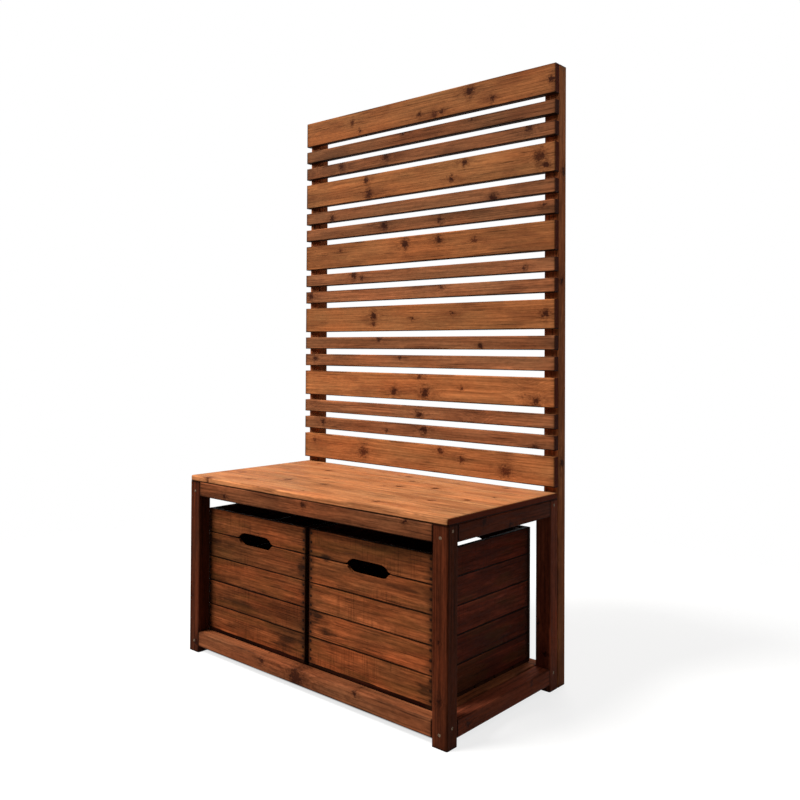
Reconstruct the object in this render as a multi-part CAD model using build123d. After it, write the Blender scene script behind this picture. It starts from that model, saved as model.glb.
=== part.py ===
from build123d import *
import os

# Storage bench with a slatted privacy screen at its back and two loose crates under its seat.
# Millimetres. X runs along the bench, the front looks towards -Y, Z is up.
# The origin lies on the floor under the middle of the whole object.

# Square timber of the legs, rails, posts, bearer and runners
stock = 38.0
stock_round = 4.0

# Bench
bench_width = 820.0
bench_depth = 464.0
seat_height = 466.0
seat_thickness = 15.0
seat_board_count = 5
seat_corner_round = 5.0
seat_edge_round = 4.0
seat_under_round = 2.5
rail_lift = 16.0

# Screen
wide_slat = 72.0
narrow_slat = 34.8
slat_thickness = 18.0
slat_gap = 16.0
slat_round = 1.5
slat_count = 16
slat_group_count = 3
screen_gap = 14.0

# Crates: their laps over the rails and the room left round them in the bay
crate_front_lap = 4.0
crate_back_lap = 13.0
crate_left_gap = 3.0
crate_middle_gap = 16.0
crate_right_gap = 22.0
crate_headroom = 33.5
crate_lift = 2.0
crate_rows = 5
crate_board = 9.0
crate_board_gap = 0.8
crate_board_round = 1.0
crate_floor = 7.0
crate_floor_count = 5
crate_floor_gap = 4.0
batten = 20.0
batten_drop = 4.0
batten_round = 1.5
hand_hole_length = 122.0
hand_hole_flat = 74.0
hand_hole_height = 32.0
runner_inset = 70.0

# Screws
screw_radius = 2.0
screw_head_radius = 3.6
screw_head_height = 2.4
screw_stagger = 7.0
rail_bite = 30.0
leg_bite = 25.0
slat_bite = 12.0
seat_bite = 9.0
seat_screw_offset = 9.0
wide_slat_screw_pitch = 40.0
post_screw_count = 3

# Dowels
dowel_radius = 4.0
dowel_length = 36.0

# Nails
nail_radius = 0.9
nail_head_radius = 2.0
nail_head_height = 0.6
nail_length = 25.0
wall_nails_per_end = 3
side_nails_per_end = 2

# Drilled holes are this much larger all round than what sits in them
drill_clearance = 0.15

# Planes of the frame
half_width = bench_width / 2
inner_half = half_width - stock
y_front = -(bench_depth + stock) / 2
y_back = y_front + bench_depth + stock
y_post_front = y_front + bench_depth
y_bay_front = y_front + stock
y_bay_back = y_post_front - stock
leg_top = seat_height - seat_thickness
top_rail_low = leg_top - stock
bottom_rail_top = rail_lift + stock

# Planes of the crates
crate_width = (2 * inner_half - crate_left_gap - crate_middle_gap - crate_right_gap) / 2
crate_y_front = y_bay_front - crate_front_lap
crate_y_back = y_bay_back + crate_back_lap
crate_low = bottom_rail_top + crate_lift
crate_top = top_rail_low - crate_headroom
crate_floor_top = crate_low + crate_floor
crate_row_pitch = (crate_top - crate_floor_top + crate_board_gap) / crate_rows
crate_x_lows = {
    "left_crate": -inner_half + crate_left_gap,
    "right_crate": -inner_half + crate_left_gap + crate_width + crate_middle_gap,
}

# Timbers and fasteners by node, and the holes drilled in each timber by node and number
pieces = {}
holes = {}


def block(low, high):
    """A plain block between two opposite corners."""
    size = [b - a for a, b in zip(low, high)]
    middle = [(a + b) / 2 for a, b in zip(low, high)]
    return Pos(*middle) * Box(*size)


def timber(low, high, grain, radius):
    """A straight length of timber between two corners, with its long edges eased."""
    return fillet(block(low, high).edges().filter_by(grain), radius)


def at(point, direction):
    """The place of a fastener that enters the timber at a point, in a direction."""
    return Plane(origin=point, z_dir=direction).location


def pin(radius, start, end):
    """A round bar along Z."""
    return Pos(0, 0, (start + end) / 2) * Cylinder(radius, end - start)


def screw(length):
    """A flat-headed screw flush with the surface it enters at Z = 0, and the hole for it."""
    solid = pin(screw_head_radius, 0, screw_head_height) + pin(screw_radius, screw_head_height, length)
    head_hole = pin(screw_head_radius + drill_clearance, -screw_head_height, screw_head_height)
    hole = head_hole + pin(screw_radius + drill_clearance, 0, length + drill_clearance)
    return solid, hole


def dowel():
    """A dowel half in each of the two timbers that meet at Z = 0, and the hole for it."""
    reach = dowel_length / 2
    hole_reach = reach + drill_clearance
    return pin(dowel_radius, -reach, reach), pin(dowel_radius + drill_clearance, -hole_reach, hole_reach)


def nail():
    """A nail whose head lies on the surface it enters at Z = 0, and the hole for it."""
    solid = pin(nail_head_radius, -nail_head_height, 0) + pin(nail_radius, 0, nail_length)
    hole = pin(nail_radius + drill_clearance, -nail_head_height, nail_length + drill_clearance)
    return solid, hole


def sunk_nail():
    """A nail whose head is flush with the surface it enters at Z = 0, and the hole for it."""
    solid = pin(nail_head_radius, 0, nail_head_height) + pin(nail_radius, nail_head_height, nail_length)
    head_hole = pin(nail_head_radius + drill_clearance, -nail_head_height, nail_head_height)
    return solid, head_hole + pin(nail_radius + drill_clearance, 0, nail_length + drill_clearance)


def fasten(group, fastener, place, *targets):
    """Adds a fastener to a group and drills the timbers it goes into, each a node and a number."""
    solid, hole = fastener
    pieces.setdefault(group, []).append(place * solid)
    for target in targets:
        holes.setdefault(target, []).append(place * hole)


def spread(low, high, count):
    """The middles of count equal shares of a stretch."""
    share = (high - low) / count
    return [low + share * (i + 0.5) for i in range(count)]


# Legs
for end, y in (("front", y_front), ("rear", y_bay_back)):
    for side, x in (("left", -half_width), ("right", inner_half)):
        leg = timber((x, y, 0), (x + stock, y + stock, leg_top), Axis.Z, stock_round)
        pieces[f"{end}_{side}_leg"] = [leg]

# Rails, butted between the legs
rail_lows = {"top": top_rail_low, "bottom": rail_lift}
for level, z in rail_lows.items():
    for end, y in (("front", y_front), ("rear", y_bay_back)):
        rail = timber((-inner_half, y, z), (inner_half, y + stock, z + stock), Axis.X, stock_round)
        pieces[f"{end}_{level}_rail"] = [rail]
    for side, x in (("left", -half_width), ("right", inner_half)):
        rail = timber((x, y_bay_front, z), (x + stock, y_bay_back, z + stock), Axis.Y, stock_round)
        pieces[f"{side}_{level}_rail"] = [rail]

# Two screws at each end of the frame: through the leg's side and, lower, through its face
frame_screw = screw(stock + rail_bite)
for level, z in rail_lows.items():
    z_middle = z + stock / 2
    for side, sign in (("left", -1), ("right", 1)):
        x_middle = sign * (half_width - stock / 2)
        for end, y_face, inward in (("front", y_front, 1), ("rear", y_post_front, -1)):
            leg = (f"{end}_{side}_leg", 0)
            side_point = (sign * half_width, y_face + inward * stock / 2, z_middle + screw_stagger)
            place = at(side_point, (-sign, 0, 0))
            fasten("frame_screws", frame_screw, place, leg, (f"{end}_{level}_rail", 0))
            face_point = (x_middle, y_face, z_middle - screw_stagger)
            place = at(face_point, (0, inward, 0))
            fasten("frame_screws", frame_screw, place, leg, (f"{side}_{level}_rail", 0))

# Bearer under the middle of the seat and runners under the crates, the outer ones against the side rails
cross_timbers = {"seat_bearer": (0.0, top_rail_low, "top")}
runner_middles = {
    "left_crate_left_runner": -inner_half + stock / 2,
    "left_crate_right_runner": crate_x_lows["left_crate"] + crate_width - runner_inset,
    "right_crate_left_runner": crate_x_lows["right_crate"] + runner_inset,
    "right_crate_right_runner": inner_half - stock / 2,
}
for name, x in runner_middles.items():
    cross_timbers[name] = (x, crate_low - stock, "bottom")

# They are doweled between the front and rear rails, below the screws in the ends of those
for name, (x, z, level) in cross_timbers.items():
    low = (x - stock / 2, y_bay_front, z)
    high = (x + stock / 2, y_bay_back, z + stock)
    pieces[name] = [timber(low, high, Axis.Y, stock_round)]
    for end, y in (("front", y_bay_front), ("rear", y_bay_back)):
        place = at((x, y, rail_lows[level] + stock / 2 - screw_stagger), (0, 1, 0))
        fasten("frame_dowels", dowel(), place, (name, 0), (f"{end}_{level}_rail", 0))

# Seat: boards laid edge to edge, with the outer edges rounded over, less below than above
panel = block((-half_width, y_front, leg_top), (half_width, y_post_front, seat_height))
panel = fillet(panel.edges().filter_by(Axis.Z), seat_corner_round)
panel = fillet(panel.faces().sort_by(Axis.Z)[-1].edges(), seat_edge_round)
panel = fillet(panel.faces().sort_by(Axis.Z)[0].edges(), seat_under_round)
seat_board_width = bench_depth / seat_board_count
seat_screw = screw(stock + seat_bite)
for number in range(seat_board_count):
    y_low = y_front + number * seat_board_width
    y_high = y_low + seat_board_width
    name = f"seat_board_{number + 1}"
    pieces[name] = [panel & block((-half_width, y_low, leg_top), (half_width, y_high, seat_height))]
    y = (max(y_low, y_bay_front) + min(y_high, y_bay_back)) / 2
    x_side = inner_half + stock / 2 - seat_screw_offset
    for support, x in (("left_top_rail", -x_side), ("seat_bearer", 0.0), ("right_top_rail", x_side)):
        place = at((x, y, top_rail_low), (0, 0, 1))
        fasten("seat_screws", seat_screw, place, (support, 0), (name, 0))

# Slats of the screen from the lowest up, the first of each group wide
slat_bands = []
z = seat_height + screen_gap
for number in range(slat_count):
    height = narrow_slat if number % slat_group_count else wide_slat
    slat_bands.append((z, z + height))
    z += height + slat_gap
post_top = slat_bands[-1][1]
y_slat = y_post_front - slat_thickness
for number, (z_low, z_high) in enumerate(slat_bands):
    slat = timber((-half_width, y_slat, z_low), (half_width, y_post_front, z_high), Axis.X, slat_round)
    pieces[f"screen_slat_{number + 1:02d}"] = [slat]

# Posts behind the rear legs, screwed from the back into the legs and the slats
post_screw = screw(stock + leg_bite)
slat_screw = screw(stock + slat_bite)
for side, x in (("left", -half_width), ("right", inner_half)):
    post = f"{side}_post"
    pieces[post] = [timber((x, y_post_front, 0), (x + stock, y_back, post_top), Axis.Z, stock_round)]
    x_middle = x + stock / 2
    for z in spread(0, leg_top, post_screw_count):
        place = at((x_middle, y_back, z), (0, -1, 0))
        fasten("screen_screws", post_screw, place, (post, 0), (f"rear_{side}_leg", 0))
    for number, (z_low, z_high) in enumerate(slat_bands):
        wide = number % slat_group_count == 0
        for offset in (-wide_slat_screw_pitch / 2, wide_slat_screw_pitch / 2) if wide else (0,):
            place = at((x_middle, y_back, (z_low + z_high) / 2 + offset), (0, -1, 0))
            fasten("screen_screws", slat_screw, place, (post, 0), (f"screen_slat_{number + 1:02d}", 0))


def hand_hole():
    """A cutter for the oblong grip between two boards, its round ends drawn out to points."""
    tip = hand_hole_length / 2
    flat = hand_hole_flat / 2
    rise = hand_hole_height / 2
    outline = [
        Line((-flat, rise), (flat, rise)),
        TangentArc((flat, rise), (tip, 0), tangent=(1, 0)),
        TangentArc((flat, -rise), (tip, 0), tangent=(1, 0)),
        Line((flat, -rise), (-flat, -rise)),
        TangentArc((-flat, -rise), (-tip, 0), tangent=(-1, 0)),
        TangentArc((-flat, rise), (-tip, 0), tangent=(-1, 0)),
    ]
    return extrude(Plane.XZ * make_face(outline), crate_board, both=True)


def crate(name, x_low):
    """An open crate: front and back boards over the side boards' ends, battens inside, boards below."""
    x_high = x_low + crate_width
    rows = [crate_floor_top + i * crate_row_pitch for i in range(crate_rows)]
    height = crate_row_pitch - crate_board_gap
    nails = f"{name}_nails"
    y_inner_front = crate_y_front + crate_board
    y_inner_back = crate_y_back - crate_board

    # Front and back boards, with a grip on the joint under the top board
    x_middle = (x_low + x_high) / 2
    for wall, y in (("front", crate_y_front), ("back", y_inner_back)):
        boards = [
            timber((x_low, y, z), (x_high, y + crate_board, z + height), Axis.X, crate_board_round)
            for z in rows
        ]
        grip = Pos(x_middle, y + crate_board / 2, rows[-1] - crate_board_gap / 2) * hand_hole()
        boards[-2:] = [board - grip for board in boards[-2:]]
        pieces[f"{name}_{wall}_boards"] = boards

    # Side boards between them, and the battens that tie each side's boards together
    sides = {"left": (x_low, 1), "right": (x_high, -1)}
    battens = []
    for side, (x_outer, inward) in sides.items():
        x_inner = x_outer + inward * crate_board
        x_batten = x_inner + inward * batten
        low_x, high_x = sorted((x_outer, x_inner))
        pieces[f"{name}_{side}_side_boards"] = [
            timber((low_x, y_inner_front, z), (high_x, y_inner_back, z + height), Axis.Y, crate_board_round)
            for z in rows
        ]
        low_x, high_x = sorted((x_inner, x_batten))
        for y in (y_inner_front, y_inner_back - batten):
            low = (low_x, y, crate_floor_top)
            high = (high_x, y + batten, crate_top - batten_drop)
            battens.append(timber(low, high, Axis.Z, batten_round))
    pieces[f"{name}_corner_battens"] = battens

    # Floor boards under all four walls
    floor_node = f"{name}_floor_boards"
    floor_width = (crate_y_back - crate_y_front + crate_floor_gap) / crate_floor_count - crate_floor_gap
    y_floors = [crate_y_front + i * (floor_width + crate_floor_gap) for i in range(crate_floor_count)]
    pieces[floor_node] = [
        timber((x_low, y, crate_low), (x_high, y + floor_width, crate_floor_top), Axis.X, crate_board_round)
        for y in y_floors
    ]

    # Nails through the walls' ends, through the side boards into the battens, and up through the floor
    for side_number, (side, (x_outer, inward)) in enumerate(sides.items()):
        side_node = f"{name}_{side}_side_boards"
        x_nail = x_outer + inward * crate_board / 2
        for row, z in enumerate(rows):
            walls = (("front", crate_y_front, 1), ("back", crate_y_back, -1))
            for wall_number, (wall, y_outer, into) in enumerate(walls):
                for z_nail in spread(z, z + height, wall_nails_per_end):
                    place = at((x_nail, y_outer, z_nail), (0, into, 0))
                    fasten(nails, nail(), place, (f"{name}_{wall}_boards", row), (side_node, row))
                y_nail = y_outer + into * (crate_board + batten / 2)
                for z_nail in spread(z, z + height, side_nails_per_end):
                    place = at((x_outer, y_nail, z_nail), (inward, 0, 0))
                    batten_target = (f"{name}_corner_battens", 2 * side_number + wall_number)
                    fasten(nails, nail(), place, (side_node, row), batten_target)
        for number, y in enumerate(y_floors):
            place = at((x_nail, y + floor_width / 2, crate_low), (0, 0, 1))
            fasten(nails, sunk_nail(), place, (floor_node, number), (side_node, 0))


for name, x_low in crate_x_lows.items():
    crate(name, x_low)

# Every timber with its holes, and one file for each node
os.makedirs("parts", exist_ok=True)
for node, solids in pieces.items():
    drilled = []
    for number, solid in enumerate(solids):
        cutters = holes.get((node, number))
        drilled.append((solid - cutters if cutters else solid).solid())
    export_step(Compound(children=drilled), f"parts/{node}.step")
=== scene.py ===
import math
import random

import bmesh
import bpy
from mathutils import Matrix, Vector, noise


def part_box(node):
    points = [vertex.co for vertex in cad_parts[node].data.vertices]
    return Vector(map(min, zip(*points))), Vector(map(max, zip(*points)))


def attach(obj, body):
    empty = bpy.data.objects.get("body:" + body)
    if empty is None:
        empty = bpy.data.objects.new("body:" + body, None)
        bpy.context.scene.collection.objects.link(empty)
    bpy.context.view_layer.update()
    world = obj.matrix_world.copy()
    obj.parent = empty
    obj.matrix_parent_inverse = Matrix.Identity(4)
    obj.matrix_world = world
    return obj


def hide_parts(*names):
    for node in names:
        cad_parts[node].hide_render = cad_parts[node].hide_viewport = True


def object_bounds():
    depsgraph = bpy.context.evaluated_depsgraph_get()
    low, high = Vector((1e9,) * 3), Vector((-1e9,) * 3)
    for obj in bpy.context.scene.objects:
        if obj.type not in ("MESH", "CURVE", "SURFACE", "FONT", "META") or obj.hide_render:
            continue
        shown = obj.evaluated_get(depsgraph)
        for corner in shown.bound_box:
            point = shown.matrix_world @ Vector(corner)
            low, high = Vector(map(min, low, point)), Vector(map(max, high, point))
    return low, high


# Storage bench with a slatted screen and two crates: its finishes, rough crate boards, light and camera.
# Metres. X runs along the bench, the front looks towards -Y, Z is up.
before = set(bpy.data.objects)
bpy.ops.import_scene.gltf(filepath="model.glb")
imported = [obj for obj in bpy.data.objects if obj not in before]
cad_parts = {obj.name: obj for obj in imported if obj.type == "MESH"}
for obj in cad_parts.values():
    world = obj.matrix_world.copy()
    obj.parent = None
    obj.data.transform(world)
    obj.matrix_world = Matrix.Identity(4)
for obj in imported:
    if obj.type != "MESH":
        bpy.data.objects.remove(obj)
cad_low, cad_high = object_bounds()
scene = bpy.context.scene
scene.view_settings.view_transform = "Standard"
MM = 0.001

# The range that noise mostly fills, and the sockets of a colour mix
NOISE_RANGE = (0.3, 0.7)
MIX_INPUTS = (0, 6, 7)
MIX_OUTPUT = 2


def srgb(*levels):
    """A colour from its three screen levels of 0 to 255."""
    linear = [((c / 255 + 0.055) / 1.055) ** 2.4 if c > 10 else c / 255 / 12.92 for c in levels]
    return (*linear, 1.0)


# Shader nodes with little writing
def add(tree, kind, values=None, **settings):
    """Adds a node and fills its inputs, with a link where a value is a socket."""
    made = tree.nodes.new(kind)
    for key, value in settings.items():
        setattr(made, key, value)
    for key, value in (values or {}).items():
        if isinstance(value, bpy.types.NodeSocket):
            tree.links.new(value, made.inputs[key])
        else:
            made.inputs[key].default_value = value
    return made


def calc(tree, operation, *values):
    """The result of a sum on numbers."""
    return add(tree, "ShaderNodeMath", dict(enumerate(values)), operation=operation).outputs[0]


def product(tree, first, *others):
    """Several numbers multiplied."""
    for other in others:
        first = calc(tree, "MULTIPLY", first, other)
    return first


def total(tree, first, *others):
    """Several numbers added."""
    for other in others:
        first = calc(tree, "ADD", first, other)
    return first


def hypotenuse(tree, *sides):
    """The length of a diagonal."""
    return calc(tree, "SQRT", total(tree, *[product(tree, side, side) for side in sides]))


def vector(tree, operation, *values):
    """The result of a sum on vectors."""
    made = add(tree, "ShaderNodeVectorMath", dict(enumerate(values)), operation=operation)
    return made.outputs["Value" if operation == "LENGTH" else "Vector"]


def split(tree, value):
    """The three parts of a vector."""
    return add(tree, "ShaderNodeSeparateXYZ", {0: value}).outputs


def step(tree, value, start, end):
    """A smooth rise from 0 at start to 1 at end, or a fall where end is the smaller."""
    inputs = {"Value": value, "From Min": start, "From Max": end}
    return add(tree, "ShaderNodeMapRange", inputs, interpolation_type="SMOOTHSTEP").outputs[0]


def scaled(tree, value, low, high):
    """A value of 0 to 1 spread over another range."""
    return add(tree, "ShaderNodeMapRange", {"Value": value, "To Min": low, "To Max": high}).outputs[0]


def spread(tree, value, low, high):
    """Noise, which mostly lies in the middle of 0 to 1, spread over another range."""
    noise_low, noise_high = NOISE_RANGE
    inputs = {"Value": value, "From Min": noise_low, "From Max": noise_high}
    inputs.update({"To Min": low, "To Max": high})
    return add(tree, "ShaderNodeMapRange", inputs).outputs[0]


def sway(tree, value, half):
    """Noise spread evenly to both sides of zero."""
    return spread(tree, value, -half, half)


def mottle(tree, place, stretch, detail):
    """Noise of 0 to 1 with so many cells a metre along each axis."""
    inputs = {"Vector": vector(tree, "MULTIPLY", place, stretch), "Scale": 1.0, "Detail": detail}
    return add(tree, "ShaderNodeTexNoise", inputs).outputs[0]


def mix(tree, factor, first, second):
    """Two colours mixed."""
    inputs = dict(zip(MIX_INPUTS, (factor, first, second)))
    return add(tree, "ShaderNodeMix", inputs, data_type="RGBA").outputs[MIX_OUTPUT]


def shade(tree, colour, factor):
    """A colour made lighter or darker by a number."""
    made = add(tree, "ShaderNodeVectorMath", {0: colour, "Scale": factor}, operation="SCALE")
    return made.outputs["Vector"]


def less(tree, amount, share):
    """One minus a share of an amount, to darken with."""
    return calc(tree, "SUBTRACT", 1.0, product(tree, amount, share))


def new_group(name, inputs, outputs):
    """An empty node group with its sockets, as the tree, its inputs and its outputs."""
    tree = bpy.data.node_groups.new(name, "ShaderNodeTree")
    for direction, sockets in (("INPUT", inputs), ("OUTPUT", outputs)):
        for socket, kind in sockets.items():
            tree.interface.new_socket(name=socket, in_out=direction, socket_type=f"NodeSocket{kind}")
    return tree, tree.nodes.new("NodeGroupInput").outputs, tree.nodes.new("NodeGroupOutput").inputs


# Noises of the wood: cells a metre along, across and through a board, detail, and a shift to part them
NO_SHIFT = (0, 0, 0)
RING_NOISES = {
    "slow": ((1.9, 5, 5), 1.0, NO_SHIFT),
    "fine": ((12, 60, 60), 2.0, NO_SHIFT),
}
TIMBER_NOISES = {
    "fibre": ((30, 1100, 1100), 2.0, NO_SHIFT),
    "streak": ((5, 210, 210), 3.0, NO_SHIFT),
    "band": ((2.6, 62, 62), 3.0, (5.1, 2.7, 8.3)),
    "blotch": ((7, 26, 26), 5.0, NO_SHIFT),
    "speck": ((70, 170, 170), 3.0, (1.9, 6.1, 4.7)),
    "hair": ((9, 380, 380), 1.0, (3.7, 1.3, 2.1)),
    "drift": ((5, 16, 16), 3.0, (6.3, 9.7, 2.9)),
    "ragged": ((190, 240, 240), 4.0, NO_SHIFT),
    "patchy": ((60, 190, 190), 3.0, NO_SHIFT),
}
CRATE_NOISES = {
    "kerf": ((190, 9, 9), 2.0, NO_SHIFT),
    "sawn": ((6, 14, 14), 2.0, NO_SHIFT),
    "blush": ((5, 13, 13), 3.0, (4.9, 3.1, 7.7)),
    "cloud": ((7, 34, 34), 6.0, NO_SHIFT),
    "grime": ((18, 110, 110), 6.0, (9.1, 4.3, 6.7)),
    "rub": ((9, 90, 90), 5.0, (2.3, 8.9, 1.7)),
}

# Where each mark of the wood begins and where it is full, in the measure that it is read from
MARKS = {
    "late_wood": (0.2, 0.9),
    "ring_end": (1.0, 0.92),
    "hair": (0.63, 0.72),
    "open_grain": (0.42, 0.56),
    "stain": (0.52, 0.64),
    "halo": (2.6, 0.8),
    "tail": (2.4, 0.4),
    "spike": (1.9, 0.3),
    "black_heart": (0.7, 1.0),
    "core": (1.2, 0.55),
    "true_knot": (0.4, 0.6),
    "rim_inside": (0.4, 0.9),
    "rim_outside": (1.5, 1.0),
    "rim_strength": (0.4, 0.9),
    "edge": (4 * MM, 1 * MM),
    "worn": (0.52, 0.42),
    "soiled": (0.45, 0.55),
    "near_end": (14 * MM, 1 * MM),
    "end_shade_line": (3.2 * MM, 1.6 * MM),
    "end_grain": (0.5, 0.85),
    # painted shade on the posts: none at 0.6 m, full at 0.36 m and below
    "lower_post_shade": (0.6, 0.36),
    "kerf": (0.5, 0.64),
    "sawn": (0.48, 0.62),
    "cloud": (0.5, 0.62),
    "grime": (0.52, 0.64),
    "rub": (0.5, 0.62),
    "patch": (1.2, 0.2),
    "joint": (2.2 * MM, 0.9 * MM),
    # painted highlight along each crate board's top edge
    "top_edge_highlight": (5 * MM, 3 * MM),
    "damp": (20 * MM, 0.0),
    "rust": (5.5 * MM, 1.8 * MM),
}

# How far each mark covers, darkens or lightens the wood under it
SHARES = {
    "check": 0.6,
    "stain": 0.38,
    "halo": 0.45,
    "tail": 0.7,
    "spike": 0.7,
    "core": 0.9,
    "rim": 0.75,
    "worn": 0.3,
    "soiled": 0.5,
    "near_end": 0.25,
    "end_shade_line": 0.65,
    # painted shade along the under edge
    "under": 0.85,
    "saw": 0.25,
    "cloud": 0.3,
    "grime": 0.28,
    "rub": 0.35,
    "joint": 0.88,
    "damp": 0.5,
    "rust": 0.75,
}


def wood_noises(tree, seeded, kinds):
    """The noises of a table, each of 0 to 1."""
    made = {}
    for name, (stretch, detail, shift) in kinds.items():
        made[name] = mottle(tree, vector(tree, "ADD", seeded, shift), stretch, detail)
    return made


def mark(tree, value, name):
    """How fully a mark shows, 0 to 1, where its measure has a value."""
    return step(tree, value, *MARKS[name])


def covered(tree, colour, amount, name, coat):
    """A colour under a mark of another colour."""
    return mix(tree, product(tree, amount, SHARES[name]), colour, coat)


def darkened(tree, colour, amount, name):
    """A colour darkened by a mark."""
    return shade(tree, colour, less(tree, amount, SHARES[name]))


def lightened(tree, colour, amount, share):
    """A colour made lighter by a share of an amount, or darker where that is below zero."""
    return shade(tree, colour, total(tree, 1.0, product(tree, amount, share)))


# Knots: what each passes on to the next, how its marks are squashed, and how it bends the rings
KNOT_CHAIN = ("Warp", "Near", "Tail", "Spike", "Dark")
KNOT_SHAPES = {"Near": (0.8, 0.9, 0), "Tail": (0.22, 0.8, 0), "Spike": (0.75, 0.3, 0)}
KNOT_BEND = 1.2
KNOT_BEND_FALL = 0.45


def make_knot():
    """One knot: how it bends the rings, and how far the nearest knot and its smears are, in radii."""
    chain = {name: "Float" for name in KNOT_CHAIN}
    own = {"Grain": "Vector", "Centre": "Vector", "Radius": "Float", "Strength": "Float"}
    tree, given, result = new_group("knot", {**own, **chain}, chain)
    offset = vector(tree, "SUBTRACT", given["Grain"], given["Centre"])
    away = {}
    for name, squash in KNOT_SHAPES.items():
        reach = vector(tree, "LENGTH", vector(tree, "MULTIPLY", offset, squash))
        away[name] = calc(tree, "DIVIDE", reach, given["Radius"])
        tree.links.new(calc(tree, "MINIMUM", away[name], given[name]), result[name])
    wide = product(tree, away["Near"], KNOT_BEND_FALL)
    fall = calc(tree, "EXPONENT", product(tree, wide, wide, -1.0))
    bend = product(tree, fall, given["Radius"], KNOT_BEND)
    nearer = calc(tree, "LESS_THAN", away["Tail"], given["Tail"])
    darker = product(tree, nearer, calc(tree, "SUBTRACT", given["Strength"], given["Dark"]))
    tree.links.new(total(tree, given["Warp"], bend), result["Warp"])
    tree.links.new(total(tree, given["Dark"], darker), result["Dark"])
    return tree


# Wood: the waves in its rings, their unevenness, how strongly each noise figures its colour, and how far
# noise moves the bounds of its marks
RING_WAVES = {"slow": 9 * MM, "fine": 2 * MM}
RING_DRIFT = 2.2
RING_DRIFT_SCALE = 0.4
FIGURE = {"streak": 0.38, "band": 0.22, "fibre": 0.12, "speck": 0.16}
STAIN_SWAY = 0.1
EDGE_SWAY = 1.2 * MM
END_SWAY = 6 * MM
KNOT_RAG = 0.45
HEART_RING = 0.25

# Colours of its marks, factors on the stain's colour, and where the painted shade line along the under
# edge is full, as a share of its height
WARMER = (1.1, 0.97, 0.9, 1)
COOLER = (0.92, 1.03, 1.08, 1)
CHECK_COLOUR = srgb(44, 20, 10)
HEART_COLOUR = srgb(56, 25, 14)
RIM_COLOUR = srgb(42, 18, 10)
TAIL_DARK = 0.65
SPIKE_DARK = 0.45
HEART_DARK = 0.4
END_TINT = (0.68, 0.46, 0.48)
END_RINGS = (0.8, 1.2)
UNDER_SHADE_FULL = 0.75

# Its roughness, and the relief of its parts
FIBRE_ROUGHNESS = (0.54, 0.72)
LATE_ROUGHNESS = -0.08
FIBRE_RELIEF = 0.5
LATE_RELIEF = 0.35
STREAK_RELIEF = 0.9
RIM_CRACK = 0.6


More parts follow.
